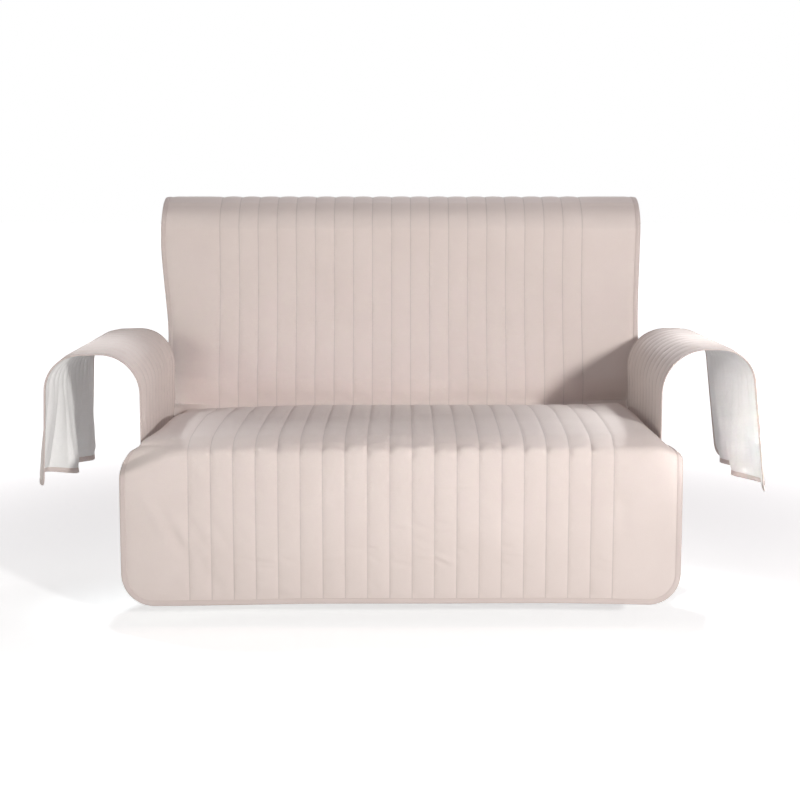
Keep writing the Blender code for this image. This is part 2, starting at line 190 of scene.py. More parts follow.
def surfaceNormals(surface, u, v, limits, outwards):
    # cross product of the two slopes of the surface, by small steps kept inside its limits
    step = 0.0012
    lowU, highU = np.clip(u - step, *limits[0]), np.clip(u + step, *limits[0])
    lowV, highV = np.clip(v - step, *limits[1]), np.clip(v + step, *limits[1])
    alongU = surface(highU, v) - surface(lowU, v)
    alongV = surface(u, highV) - surface(u, lowV)
    normal = np.cross(alongU, alongV) * outwards
    return normal / np.maximum(np.linalg.norm(normal, axis=-1, keepdims=True), 1e-12)


def toRow(points):
    return points - origin


def distancesOn(line):  # running length at each point of a line
    return np.concatenate([[0.0], np.cumsum(np.linalg.norm(np.diff(line, axis=0), axis=1))])


def ringOf(grid):  # the rim of a grid of indices or points, once round
    return np.concatenate([grid[0, :-1], grid[:-1, -1], grid[-1, :0:-1], grid[:0:-1, 0]])


def quadsOf(grid):
    corners = grid[:-1, :-1], grid[:-1, 1:], grid[1:, 1:], grid[1:, :-1]
    return np.stack(corners, axis=-1).reshape(-1, 4)


def addMesh(name, points, faces, flat, material, sharpAngle=70.0):
    mesh = bpy.data.meshes.new(name)
    mesh.from_pydata(toRow(points), [], faces)
    layer = mesh.uv_layers.new(name="flat")
    corner = np.empty(len(mesh.loops), dtype=np.int32)
    mesh.loops.foreach_get("vertex_index", corner)
    layer.data.foreach_set("uv", flat[corner].astype(np.float32).ravel())
    mesh.materials.append(material)
    mesh.shade_smooth()
    mesh.set_sharp_from_angle(angle=math.radians(sharpAngle))
    mesh.validate()
    piece = bpy.data.objects.new(name, mesh)
    bpy.context.scene.collection.objects.link(piece)
    return piece


def sheetBetween(name, upper, lower, flat, material, outwards):
    # a closed sheet: upper and lower grids of points, where the lower may have every second row
    # and column of the upper, joined round the rim
    upperIndex = np.arange(upper.shape[0] * upper.shape[1]).reshape(upper.shape[:2])
    lowerIndex = upperIndex.size + np.arange(lower.shape[0] * lower.shape[1]).reshape(lower.shape[:2])
    top, under = quadsOf(upperIndex), quadsOf(lowerIndex)[:, ::-1]
    ring, ringUnder = ringOf(upperIndex), ringOf(lowerIndex)
    if len(ring) == len(ringUnder):
        rim = np.stack([np.roll(ring, -1), ring, ringUnder, np.roll(ringUnder, -1)], axis=1)
        flatUnder = flat
    else:
        rim = np.stack([np.roll(ring, -2)[::2], np.roll(ring, -1)[::2], ring[::2],
                        ringUnder, np.roll(ringUnder, -1)], axis=1)
        flatUnder = flat[::2, ::2]
    turn = slice(None) if outwards > 0 else slice(None, None, -1)
    faces = top[:, turn].tolist() + under[:, turn].tolist() + rim[:, turn].tolist()
    points = np.concatenate([upper.reshape(-1, 3), lower.reshape(-1, 3)])
    flats = np.concatenate([flat.reshape(-1, 2), flatUnder.reshape(-1, 2)])
    return addMesh(name, points, faces, flats, material)


def edgeDirections(line, closed):  # unit vectors to the right of a line of flat places
    if closed:
        before, after = np.roll(line, 1, axis=0), np.roll(line, -1, axis=0)
    else:
        before = np.concatenate([line[:1], line[:-1]])
        after = np.concatenate([line[1:], line[-1:]])
    heading = np.zeros_like(line)
    for start, end in ((before, line), (line, after)):
        step = end - start
        size = np.linalg.norm(step, axis=1, keepdims=True)
        heading += np.divide(step, size, out=np.zeros_like(step), where=size > 0.0)
    heading /= np.linalg.norm(heading, axis=1, keepdims=True)
    return np.stack([heading[:, 1], -heading[:, 0]], axis=1)


tape = {
    "wide": 0.0120,
    # the folded tape's section: millimetres past the sewn edge, millimetres over the underside
    "section": (
        (0.2, 2.45), (0.5, 2.95), (3.0, 3.15), (7.5, 3.15), (10.6, 3.00), (12.1, 2.40),
        (12.7, 1.40), (12.1, 0.30), (10.6, -0.25), (6.0, -0.30), (0.6, -0.30), (0.3, -0.05),
        (0.6, 0.20), (6.0, 0.20), (10.3, 0.25), (11.4, 0.75), (11.8, 1.40), (11.4, 1.95),
        (10.3, 2.40), (7.5, 2.55), (3.0, 2.50), (0.6, 2.35)),
    "sewnIn": 0.0110,         # from the cloth's edge in to the tape's own edge
    "seamAt": 0.0024,
    "seamHigh": 0.00335,
    "stitchEvery": 0.0040,
    "stitchLong": 0.78,       # share of that spacing
    "stitchThick": 0.00030,
}
coverEdge = 0.0017   # the cloth ends this far from the tape's outer fold


def tapeRound(name, surface, normals, line, closed, material, outwards):
    # the tape's section carried along the panel's sewn edge
    section = metres(tape["section"])
    right = edgeDirections(line, closed)
    flat = line[:, None, :] + right[:, None, :] * section[None, :, :1]
    base = surface(flat[..., 0], flat[..., 1])
    normal = normals(line[:, 0], line[:, 1])[:, None, :]
    points = base + normal * section[None, :, 1:]
    count, around = points.shape[:2]
    index = np.arange(count * around).reshape(count, around)
    if closed:
        index = np.concatenate([index, index[:1]])
    index = np.concatenate([index, index[:, :1]], axis=1)
    quads = quadsOf(index)
    faces = (quads if outwards > 0 else quads[:, ::-1]).tolist()
    if not closed:
        ends = [index[0, :-1][::-1].tolist(), index[-1, :-1].tolist()]
        faces += ends if outwards > 0 else [end[::-1] for end in ends]
    wound = np.broadcast_to(section[None, :, 0], (count, around))
    flats = np.stack([wound, np.broadcast_to(distancesOn(line)[:, None], (count, around))], axis=-1)
    return addMesh(name, points.reshape(-1, 3), faces, flats.reshape(-1, 2), material)


def threadPiece(name, runs, material):
    points, faces, first = [], [], 0
    for runPoints, runFaces in runs:
        points.append(runPoints)
        faces.append(runFaces + first)
        first += len(runPoints)
    points, faces = np.concatenate(points), np.concatenate(faces)
    return addMesh(name, points, faces.tolist(), points[:, :2], material, 30.0)


# materials


def addNode(tree, kind, inputs=None, **settings):
    # a node with its settings, each input set to a value or fed by another node's output
    node = tree.nodes.new("ShaderNode" + kind)
    for name, value in settings.items():
        setattr(node, name, value)
    for name, value in (inputs or {}).items():
        if isinstance(value, bpy.types.NodeSocket):
            tree.links.new(value, node.inputs[name])
        else:
            node.inputs[name].default_value = value
    return node


def nodeMaterial(name):
    material = bpy.data.materials.new(name)
    material.use_nodes = True
    return material, material.node_tree, material.node_tree.nodes["Principled BSDF"]


def noiseOn(tree, vector, scale, detail, roughness):
    inputs = {"Vector": vector, "Scale": scale, "Detail": detail, "Roughness": roughness}
    return addNode(tree, "TexNoise", inputs).outputs["Fac"]


def bandsOn(tree, vector, direction, pitch):
    # a slightly wavering sine with one band to each pitch
    inputs = {"Vector": vector, "Scale": 2.0 * math.pi / 20.0 / pitch, "Distortion": 0.6}
    return addNode(tree, "TexWave", inputs, bands_direction=direction).outputs["Fac"]


def mathNode(tree, operation, first, second, third=0.0):
    return addNode(tree, "Math", {0: first, 1: second, 2: third}, operation=operation).outputs[0]


def addUp(tree, terms):
    total = 0.0
    for output, weight in terms:
        total = mathNode(tree, "MULTIPLY_ADD", output, weight, total)
    return total


def fadeOn(tree, value, low, high, atLow, atHigh):  # smoothly from one value to another
    inputs = {"Value": value, "From Min": low, "From Max": high, "To Min": atLow, "To Max": atHigh}
    return addNode(tree, "MapRange", inputs, interpolation_type="SMOOTHSTEP").outputs["Result"]


def paintLineShade(tree, flat, colour, look):
    # painted shade: a thin dark line in the valley where the thread pulls the cloth in, one to each pitch
    # across, none on the plain border
    across = addNode(tree, "SeparateXYZ", {"Vector": flat}).outputs["X"]
    steps = mathNode(tree, "DIVIDE", across, quilting["pitch"])
    away = mathNode(tree, "PINGPONG", mathNode(tree, "ADD", steps, 0.5), 0.5)
    plain = mathNode(tree, "GREATER_THAN", mathNode(tree, "ABSOLUTE", across, 0.0), look["paintedShadeLimit"])
    near, far = look["paintedShadeNear"] / quilting["pitch"], look["paintedShadeFar"] / quilting["pitch"]
    shade = fadeOn(tree, mathNode(tree, "ADD", away, plain), near, far, look["paintedShade"], 1.0)
    return addNode(tree, "VectorMath", {0: colour, "Scale": shade}, operation="SCALE").outputs["Vector"]


def clothMaterial(name, look):
    material, tree, shader = nodeMaterial(name)
    coordinates = addNode(tree, "TexCoord").outputs
    flat, place = coordinates["UV"], coordinates["Object"]
    blotch = noiseOn(tree, place, look["blotchScale"], 3.0, 0.55)
    fuzz = noiseOn(tree, place, look["fuzzScale"], 2.0, 0.6)
    warp = bandsOn(tree, flat, "X", look["weavePitch"])
    weft = bandsOn(tree, flat, "Y", look["weavePitch"])
    tint = addUp(tree, ((blotch, 0.65), (fuzz, 0.25), (warp, 0.05), (weft, 0.05)))
    shades = {"Factor": tint, "A": (*look["darker"], 1.0), "B": (*look["lighter"], 1.0)}
    colour = addNode(tree, "Mix", shades, data_type="RGBA").outputs["Result"]
    # painted shade in the stitch valleys, for the looks that have it
    if "paintedShade" in look:
        colour = paintLineShade(tree, flat, colour, look)
    height = addUp(tree, ((warp, 0.30), (weft, 0.30), (fuzz, 0.55), (blotch, 0.6)))
    relief = {"Height": height, "Strength": look["bump"], "Distance": look["bumpDeep"]}
    tree.links.new(colour, shader.inputs["Base Color"])
    tree.links.new(addNode(tree, "Bump", relief).outputs["Normal"], shader.inputs["Normal"])
    shader.inputs["Roughness"].default_value = look["roughness"]
    shader.inputs["Sheen Weight"].default_value = look["sheen"]
    shader.inputs["Sheen Roughness"].default_value = look["sheenRoughness"]
    shader.inputs["Specular IOR Level"].default_value = look["specular"]
    return material


faceLook = {
    "darker": (0.690, 0.594, 0.556),
    "lighter": (0.785, 0.694, 0.659),
    "blotchScale": 9.0,
    "fuzzScale": 420.0,
    "weavePitch": 0.0011,
    "roughness": 0.78,
    "sheen": 0.22,
    "sheenRoughness": 0.45,
    "specular": 0.30,
    "bump": 0.45,
    "bumpDeep": 0.00022,
    # painted shade along the stitch valleys: its darkest share, the width kept fully dark, the width where
    # it has faded out, and how far across it stops
    "paintedShade": 0.84,
    "paintedShadeNear": 0.0003,
    "paintedShadeFar": 0.0019,
    "paintedShadeLimit": 0.468,
}
liningLook = {
    "darker": (0.849, 0.838, 0.832),
    "lighter": (0.926, 0.917, 0.912),
    "blotchScale": 22.0,
    "fuzzScale": 650.0,
    "weavePitch": 0.0022,
    "roughness": 0.88,
    "sheen": 0.05,
    "sheenRoughness": 0.6,
    "specular": 0.20,
    "bump": 0.55,
    "bumpDeep": 0.00025,
}
tapeLook = {
    "darker": (0.614, 0.520, 0.492),
    "lighter": (0.718, 0.624, 0.594),
    "blotchScale": 14.0,
    "fuzzScale": 500.0,
    "weavePitch": 0.0009,
    "roughness": 0.72,
    "sheen": 0.15,
    "sheenRoughness": 0.40,
    "specular": 0.35,
    "bump": 0.60,
    "bumpDeep": 0.00022,
}
threadLook = {
    "darker": (0.600, 0.515, 0.470),
    "lighter": (0.700, 0.615, 0.570),
    "blotchScale": 30.0,
    "fuzzScale": 900.0,
    "weavePitch": 0.0005,
    "roughness": 0.60,
    "sheen": 0.10,
    "sheenRoughness": 0.40,
    "specular": 0.40,
    "bump": 0.30,
    "bumpDeep": 0.00010,
}
faceCloth = clothMaterial("quiltedCloth", faceLook)
# the arm panels' copy of the face cloth, with darker and wider painted shade in the stitch valleys
armClothMoreShade = clothMaterial("quiltedArmClothMoreShade", {**faceLook, "paintedShade": 0.74, "paintedShadeFar": 0.0036})
liningCloth = clothMaterial("liningCloth", liningLook)
tapeCloth = clothMaterial("bindingTape", tapeLook)
threadCloth = clothMaterial("sewingThread", threadLook)
print("materials made")

# main panel

mainPanel = {
    "half": 0.603,
    "cornerRadius": 0.070,
    "foldStart": 0.5383,        # from here the side borders are bent down
    "foldRadius": 0.024,
    "untuck": (0.015, 0.004),   # the bent border comes flat again from before the seat's rear on
    "seed": 11,
    # each of the next six has a value for the left side and one for the right
    "seatDrawIn": (0.0179, 0.0114),
    "tuckBelowRoll": (0.0627, 0.0300),    # the border turns down from this far below the roll
    "tuckPastRoll": (0.0465, 0.0529),     # to this far past it
    "gather": (0.794, 0.703),             # how much shorter it hangs at the roll
    "gatherReach": (0.183, 0.030),
    "seatSideFall": (0.0066, -0.0060),
    "drawInAcross": (0.456, 0.5383),
    "cornerLean": 0.032,      # the front roll's left end leans back, over a line that runs down outwards
    "cornerRun": 0.060,
    "cornerFades": 0.055,
    "cornerAcross": (0.460, 0.603),
    "rearSagLeft": 0.011,     # how far the seat's rear sinks at its left end
    "sagAcross": (0.15, 0.54),
    "creaseFadesFrom": 0.430,
    # the run from hem to hem at x = 0, in millimetres; columns: y, z, radius, bow
    "run": (
        (4, 47, 0, 0), (4, 382, 14, -4), (50, 403, 120, 0), (165, 412.5, 900, 0), (320, 415.5, 900, 0),
        (588, 405, 12, -2), (589, 376, 6.8, 0), (604, 376, 6.8, 0), (616.5, 413, 15, 0),
        (608.5, 450, 100, 0), (681, 878.5, 80, 29), (752, 919.2, 90, -2), (858, 913.5, 45, -2),
        (868, 490, 0, 4)),
    # soft unevenness, in millimetres; columns: across, along, half sizes across and along, height
    "swells": (
        (-520, 180, 70, 160, 5), (-300, 100, 160, 120, -3.5), (50, 220, 180, 120, 4),
        (340, 120, 140, 140, -4), (520, 240, 70, 120, 5), (-250, 620, 220, 160, -5),
        (220, 700, 200, 140, 4), (-420, 1200, 160, 140, 4.5), (0, 1320, 240, 120, -4),
        (400, 1180, 160, 160, 4.5)),
    "swellsStop": (0.40, 0.52),
    # the front hem's height over a level line, in millimetres; columns: across, height
    "hemLevel": (
        (-603, -4.5), (-400, -3.5), (-200, 0), (100, 1), (350, 1), (500, -1), (603, -3.5)),
    "hemFades": 0.30,
    "backTurn": (0.015, -0.005),      # how far the back's side edges draw in towards the seat
    "turnAcross": (0.47, 0.603),
    "backSpreadLeft": 0.0055,
    "spreadAcross": (0.40, 0.603),
    "backBowLeft": 0.020,
    "bowAcross": (0.330, 0.603),
    "backRecedesLeft": 0.042,         # how far its left border turns away low down
    "recedeAcross": (0.470, 0.603),
    "backLoft": 0.30,                 # how much less the channels are filled on the back
    "seatLoft": 0.55,                 # and on the seat
    "pucker": (0.75, 0.90),           # in all places, and more on the two rolls
    "rollsWide": (0.035, 0.040),
}
mainRun = metres(mainPanel["run"])
mainPath = roundedPath(mainRun, 0.003)
mainLength = mainPath[1][-1]


def mainStation(index):  # distance from the front hem to a corner of the run
    return mainPath[1][np.argmin(np.linalg.norm(mainPath[0] - mainRun[index, :2], axis=1))]


seatFrontAt, seatBackAt, backFootAt = mainStation(1), mainStation(5), mainStation(8)
topFrontAt, topRearAt = mainStation(10), mainStation(12)
mainLimits = ((-mainPanel["half"], mainPanel["half"]), (0.0, mainLength))
mainReach = (quilting["mainLines"] - 1) / 2.0 * quilting["pitch"]     # from x = 0 to the last line
foldArc = mainPanel["foldRadius"] * math.pi / 2.0

# stretches along the run: where each shaping fades in, and where it fades out again
stretches = {
    "seat": (seatFrontAt - 0.060, seatFrontAt + 0.080, seatBackAt - 0.060, seatBackAt),
    "drawIn": (seatFrontAt + 0.020, seatFrontAt + 0.180, seatBackAt - 0.020, backFootAt + 0.020),
    "rearSag": (seatBackAt - 0.250, seatBackAt - 0.030, backFootAt, backFootAt + 0.040),
    "besideArm": (backFootAt - 0.030, backFootAt + 0.040, backFootAt + 0.090, backFootAt + 0.300),
    "backTurn": (backFootAt - 0.020, backFootAt + 0.100, topFrontAt - 0.300, topFrontAt - 0.060),
    "upperBack": (backFootAt + 0.020, backFootAt + 0.140, topFrontAt - 0.100, topFrontAt + 0.020),
    "flatSeat": (seatFrontAt + 0.030, seatFrontAt + 0.220, backFootAt, backFootAt + 0.100),
    "crease": (seatBackAt - 0.020, seatBackAt, backFootAt, backFootAt + 0.030),
}


def within(name, along):  # a stretch's share: a smooth step up times a smooth step down
    rise, risen, fall, fallen = stretches[name]
    return smoothStep(rise, risen, along) * (1.0 - smoothStep(fall, fallen, along))


def ofSide(name, across):  # the left side's value or the right side's
    return np.where(across < 0.0, *mainPanel[name])


def leftShare(name, across):  # share of the way from the first place on the left to the second
    start, end = mainPanel[name]
    return np.clip((-across - start) / (end - start), 0.0, 1.0)


def tuckedShare(across, along):
    # share of a quarter turn by which the border is bent down: up behind the front roll, back at the rear
    rising = smoothStep(seatFrontAt - ofSide("tuckBelowRoll", across),
                        seatFrontAt + ofSide("tuckPastRoll", across), along)
    before, past = mainPanel["untuck"]
    return rising * (1.0 - smoothStep(seatBackAt - before, backFootAt + past, along))


def acrossCrease(depth, height, across, along):
    # towards the side edges the crease between seat and back gives way to a straight line
    ends = np.array(onPath(mainPath, np.array([seatBackAt, backFootAt])))
    share = np.clip((along - seatBackAt) / (backFootAt - seatBackAt), 0.0, 1.0)
    shallow = smoothStep(mainPanel["creaseFadesFrom"], mainPanel["foldStart"], np.abs(across))
    shallow = np.where((along > seatBackAt) & (along < backFootAt), shallow, 0.0)
    depth = depth + (ends[0, 0] + (ends[0, 1] - ends[0, 0]) * share - depth) * shallow
    height = height + (ends[1, 0] + (ends[1, 1] - ends[1, 0]) * share - height) * shallow
    return depth, height


def sideBorder(across, along, tucked):
    # past foldStart the border bends down on an arc and goes on straight: how far out, how far down
    bend = np.maximum(tucked * math.pi / 2.0, 1e-6)
    beyond = np.maximum(np.abs(across) - mainPanel["foldStart"], 0.0)
    onArc = np.minimum(beyond, foldArc)
    straight = beyond - onArc
    outwards = foldArc / bend * np.sin(bend * onArc / foldArc) + straight * np.cos(bend)
    downwards = foldArc / bend * (1.0 - np.cos(bend * onArc / foldArc)) + straight * np.sin(bend)
    fromRoll = (along - seatFrontAt - mainPanel["foldRadius"]) / ofSide("gatherReach", across)
    return outwards, downwards * (1.0 - ofSide("gather", across) * np.exp(-fromRoll ** 2))


def frontCorner(across, along):  # how far the front roll's left end leans back
    outer = leftShare("cornerAcross", across)
    above = along - seatFrontAt + mainPanel["cornerRun"] * outer
    leaning = mainPanel["cornerLean"] * outer ** 0.7 * smoothStep(0.0, mainPanel["cornerRun"] / 2.0, above)
    return leaning * (1.0 - smoothStep(seatFrontAt, seatFrontAt + mainPanel["cornerFades"], along))


def swellAt(across, along, tucked):  # sum of the soft bumps, height * exp(-(distance in half sizes)^2)
    swell = np.zeros_like(across)
    for place, run, halfAcross, halfAlong, rise in metres(mainPanel["swells"]):
        spot = ((across - place) / halfAcross) ** 2 + ((along - run) / halfAlong) ** 2
        swell = swell + rise * np.exp(-spot)
    return swell * (1.0 - tucked * smoothStep(*mainPanel["swellsStop"], np.abs(across)))


def mainSurface(across, along):
    # the cloth's underside: (depth, height) from the run at its distance along, the side border bent
    # down past foldStart, soft swells pushed out along the surface, and the sides' own drawing in
    size = np.abs(across)
    depth, height = acrossCrease(*onPath(mainPath, along), across, along)
    tucked = tuckedShare(across, along)
    outwards, downwards = sideBorder(across, along, tucked)
    inner = np.minimum(size, mainPanel["foldStart"])
    drawn = within("drawIn", along) * ofSide("seatDrawIn", across)
    drawn = drawn * smoothStep(*mainPanel["drawInAcross"], size)
    onSeat, upper = within("seat", along), within("upperBack", along)
    fall = ofSide("seatSideFall", across) * onSeat * (inner / mainPanel["foldStart"]) ** 4
    fall = fall + mainPanel["rearSagLeft"] * within("rearSag", along) * leftShare("sagAcross", across) ** 1.5
    lower = softCurve(*metres(mainPanel["hemLevel"]).T, across)
    lower = lower * (1.0 - smoothStep(0.0, mainPanel["hemFades"], along))
    turnIn = ofSide("backTurn", across) * within("backTurn", along)
    turnIn = turnIn * smoothStep(*mainPanel["turnAcross"], size)
    spread = np.where(across < 0.0, mainPanel["backSpreadLeft"], 0.0) * upper
    turnIn = turnIn - spread * smoothStep(*mainPanel["spreadAcross"], size)
    back = mainPanel["backBowLeft"] * upper * leftShare("bowAcross", across) ** 2
    back = back + mainPanel["backRecedesLeft"] * within("besideArm", along) * (
        leftShare("recedeAcross", across) ** 1.6)
    swell = swellAt(across, along, tucked)
    return np.stack([np.sign(across) * (inner + outwards - drawn) + turnIn,
                     depth + back + frontCorner(across, along) - swell * (1.0 - onSeat),
                     height - downwards - fall + swell * onSeat + lower], axis=-1)


def mainNormals(across, along):
    return surfaceNormals(mainSurface, across, along, mainLimits, 1.0)


# pulls in the drop's cloth, placed as they hang, in millimetres
# columns: across and along at the start, the same at the end, width, height
dropCreases = (
    (-497, 207, -456, 134, 10, 3.9), (-497, 165, -459, 102, 12, -3.9), (-490, 71, -459, 47, 6, 2.8),
    (-560, 250, -500, 150, 12, 3.3), (-452, 186, -416, 120, 9, -3.3), (-445, 137, -414, 50, 10, -2.8),
    (-402, 182, -363, 113, 11, -2.3), (-404, 67, -384, 19, 10, -2.3), (-348, 165, -332, 135, 6, -1.9),
    (-358, 102, -315, 98, 6, -1.7), (-308, 175, -288, 172, 5, -1.7), (-309, 104, -266, 99, 5, 1.9),
    (-309, 95, -272, 92, 4, -1.9), (-307, 81, -274, 81, 5, -1.7), (-310, 42, -260, 38, 5, 2.3),
    (-260, 38, -234, 28, 5, 2.3), (-257, 158, -238, 167, 6, -1.7), (-258, 101, -224, 93, 5, -2.3),
    (-212, 217, -171, 210, 6, -1.1), (-211, 45, -186, 33, 6, -1.7), (-166, 102, -121, 107, 6, 1.1),
    (-115, 125, -74, 121, 6, -1.3), (-68, 133, -39, 122, 4, 2.4), (-67, 124, -48, 120, 4, -2.3),
    (-67, 109, -49, 94, 6, -1.9), (-68, 57, -51, 33, 8, -1.9), (-21, 182, 18, 171, 5, 1.7),
    (-17, 161, 2, 166, 6, -1.9), (-18, 91, 18, 86, 5, -1.7), (-20, 114, -6, 102, 5, 1.3),
    (25, 179, 67, 162, 6, -1.9), (29, 147, 65, 132, 7, -1.9), (41, 109, 70, 106, 4, 2.3),
    (31, 125, 53, 114, 5, -1.9), (72, 261, 116, 258, 3, 1.7), (118, 258, 169, 261, 3, 1.3),
    (169, 254, 178, 249, 4, -2.3), (73, 181, 115, 172, 6, -1.7), (73, 153, 115, 161, 6, -1.9),
    (74, 110, 114, 89, 5, 2.8), (75, 99, 101, 86, 4, -2.4), (121, 124, 138, 114, 5, -1.9),
    (188, 201, 207, 184, 7, 1.3), (218, 193, 259, 175, 7, 1.7), (218, 129, 240, 122, 5, -2.3),
    (229, 115, 259, 110, 4, 2.3), (218, 90, 234, 84, 5, -1.9), (218, 59, 257, 51, 6, -2.3),
    (267, 93, 296, 84, 6, 1.3), (312, 186, 356, 137, 14, -1.3), (428, 111, 455, 95, 6, 2),
    (411, 79, 444, 66, 10, -1.6), (475, 234, 478, 158, 14, -2.8),
)
# where the thread draws the front roll in at each line but the outer two, from left to right
# columns: along at the start and at the end, width, height
rollPulls = (
    (326, 342, 5, -2.6), (330, 344, 5, -2.9), (322, 342, 5, -3.2), (328, 356, 5, -2.9),
    (326, 350, 5, -3.5), (334, 354, 5, -3.2), (334, 350, 6, -4.5), (322, 338, 6, -4.2),
    (330, 352, 6, -4.5), (318, 334, 6, -4.2), (328, 342, 6, -4.2), (322, 352, 6, -4.5),
    (338, 352, 6, -3.8), (340, 356, 6, -4.2), (332, 346, 6, -3.8), (330, 346, 5, -3.5),
    (324, 338, 5, -3.5), (334, 348, 5, -3.2),
)
# slack ridges of the front roll between the lines, with the drop's columns
rollRidges = (
    (-452, 333, -412, 327, 6, 1.6), (-404, 328, -364, 334, 7, 1.9), (-354, 332, -318, 326, 6, 1.9),
    (-258, 352, -222, 350, 6, 2.2), (-262, 330, -172, 322, 7, 1.6), (-210, 354, -126, 356, 6, 2.2),
    (-114, 352, -78, 346, 6, 1.9), (-114, 336, -78, 332, 5, -1.6), (-66, 350, -30, 354, 6, 2.2),
    (-64, 330, -28, 334, 6, 1.9), (-18, 344, 18, 338, 6, 1.9), (4, 346, 20, 350, 4, -1.9),
    (30, 338, 66, 344, 7, 2.2), (78, 350, 114, 352, 6, 1.9), (78, 332, 114, 326, 6, 1.9),
    (124, 352, 142, 349, 4, -1.9), (126, 336, 162, 342, 6, 1.9), (174, 348, 210, 352, 7, 1.9),
    (222, 346, 258, 340, 7, 1.9), (270, 338, 306, 336, 7, 1.9), (318, 338, 354, 330, 7, 1.9),
    (366, 334, 402, 340, 8, 1.9),
)
pulledLines = (np.arange(1, quilting["mainLines"] - 1) * quilting["pitch"] - mainReach) * 1000.0
rollCreases = [(line, start, line, *rest) for line, (start, *rest) in zip(pulledLines, rollPulls)]
mainCreases = metres([*dropCreases, *rollCreases, *rollRidges])


def regionRows(regions):  # distances along, each region up to its end at its own spacing
    rows, start = [], 0.0
    for end, spacing in regions:
        count = max(int(round((end - start) / spacing)), 1)
        rows.append(start + (end - start) * np.arange(count) / count)
        start = end
    return np.concatenate(rows + [[start]])


def oddCount(places):  # one more place where the count is even, so that every second one ends the row
    if len(places) % 2:
        return places
    return np.insert(places, 1, (places[0] + places[1]) / 2.0)


channelShares = (0.0, 0.045, 0.14, 0.28, 0.43, 0.57, 0.72, 0.86, 0.955)   # columns of a channel
besideLine = (0.002, 0.006, 0.012)    # columns of the border, past the last line
underTapeAt = (0.0108, 0.0060)        # and from the cloth's edge inwards


def quiltPlaces(lines, border):
    # places of the columns across the quilting: closer beside each stitch line
    reach = (lines - 1) / 2.0 * quilting["pitch"]
    starts = np.arange(lines - 1) * quilting["pitch"] - reach
    inner = (starts[:, None] + np.array(channelShares) * quilting["pitch"]).ravel()
    border = np.asarray(border)
    return np.concatenate([-reach - border[::-1], inner, [reach], reach + border])


def spreadBorder(across, reach, edge, limit):  # the border's columns, fitted between reach and limit
    spread = reach + (np.abs(across) - reach) * (limit - reach) / (edge - reach)
    return np.where(np.abs(across) > reach, np.sign(across) * spread, across)


def cornerLimit(half, radius, rise):  # half width of a sheet at a height past its corners' centres
    return half - radius + np.sqrt((radius - coverEdge) ** 2 - np.clip(rise, 0.0, radius - coverEdge) ** 2)


def mainGrid():
    # columns close beside the lines, rows at their region's spacing, the border fitted to round corners
    radius, reach = mainPanel["cornerRadius"], mainReach
    edge = mainPanel["half"] - coverEdge
    bend = mainPanel["foldStart"] - reach
    border = np.concatenate([besideLine, np.linspace(0.019, bend, 10)[:-1],
                             np.linspace(bend, edge - underTapeAt[0] - reach, 9),
                             [edge - underTapeAt[1] - reach, edge - reach]])
    places = oddCount(quiltPlaces(quilting["mainLines"], border))
    turn = np.linspace(0.0, math.pi / 2.0, 12)
    offsets = coverEdge + (radius - coverEdge) * (1.0 - np.cos(turn))
    regions = np.array((
        (0.30, 0.0040), (seatFrontAt + 0.06, 0.0038), (seatBackAt - 0.03, 0.0085),
        (backFootAt + 0.03, 0.0042), (topFrontAt - 0.05, 0.0064), (topFrontAt + 0.05, 0.0038),
        (topRearAt - 0.05, 0.0062), (topRearAt + 0.05, 0.0048), (mainLength - radius, 0.0085)))
    middle = regionRows(regions - (radius, 0.0)) + radius
    rows = oddCount(np.concatenate([offsets[:-1], middle, mainLength - offsets[::-1][1:]]))
    across, along = np.meshgrid(places, rows)
    limit = cornerLimit(mainPanel["half"], radius, radius - np.minimum(along, mainLength - along))
    return spreadBorder(across, reach, edge, limit), along


def edgeDistance(across, along, half, length, radius):
    # distance to the edge of a rectangle with rounded corners, inside it
    fromSide, fromEnd = half - np.abs(across), np.minimum(along, length - along)
    corner = radius - np.hypot(np.maximum(radius - fromSide, 0.0), np.maximum(radius - fromEnd, 0.0))
    return np.where((fromSide < radius) & (fromEnd < radius), corner, np.minimum(fromSide, fromEnd))


def underTape(height, toEdge):
    # thin under the tape, then swelling to the full height within the next stretch of cloth
    free = smoothStep(tape["wide"] - 0.001, tape["wide"] + 0.013, toEdge)
    return quilting["underTape"] + (height - quilting["underTape"]) * free


def mainHeight(across, along):
    # the quilting's relief, less filled on the seat and the back, flat in the crease and where the
    # border is bent down, with the creases added
    inCrease = within("crease", along)
    loft = 1.0 - mainPanel["backLoft"] * smoothStep(backFootAt, backFootAt + 0.10, along)
    loft = (loft - mainPanel["seatLoft"] * within("flatSeat", along)) * (1.0 - inCrease)
    height, pucker = quiltRelief(across, along, quilting["mainLines"], loft, mainLength, mainPanel["seed"])
    beside = smoothStep(mainPanel["foldStart"], mainPanel["foldStart"] + foldArc, np.abs(across))
    still = np.maximum(beside * tuckedShare(across, along), inCrease)
    height = height + (quilting["atStitch"] - height) * still
    onRolls = np.exp(-((along - seatFrontAt + 0.005) / mainPanel["rollsWide"][0]) ** 2)
    onRolls = onRolls + np.exp(-((along - topFrontAt) / mainPanel["rollsWide"][1]) ** 2)
    pucker = pucker * (1.0 - still) * (mainPanel["pucker"][0] + mainPanel["pucker"][1] * onRolls)
    toEdge = edgeDistance(across, along, mainPanel["half"], mainLength, mainPanel["cornerRadius"])
    return underTape(height + pucker + creaseField(across, along, mainCreases), toEdge)


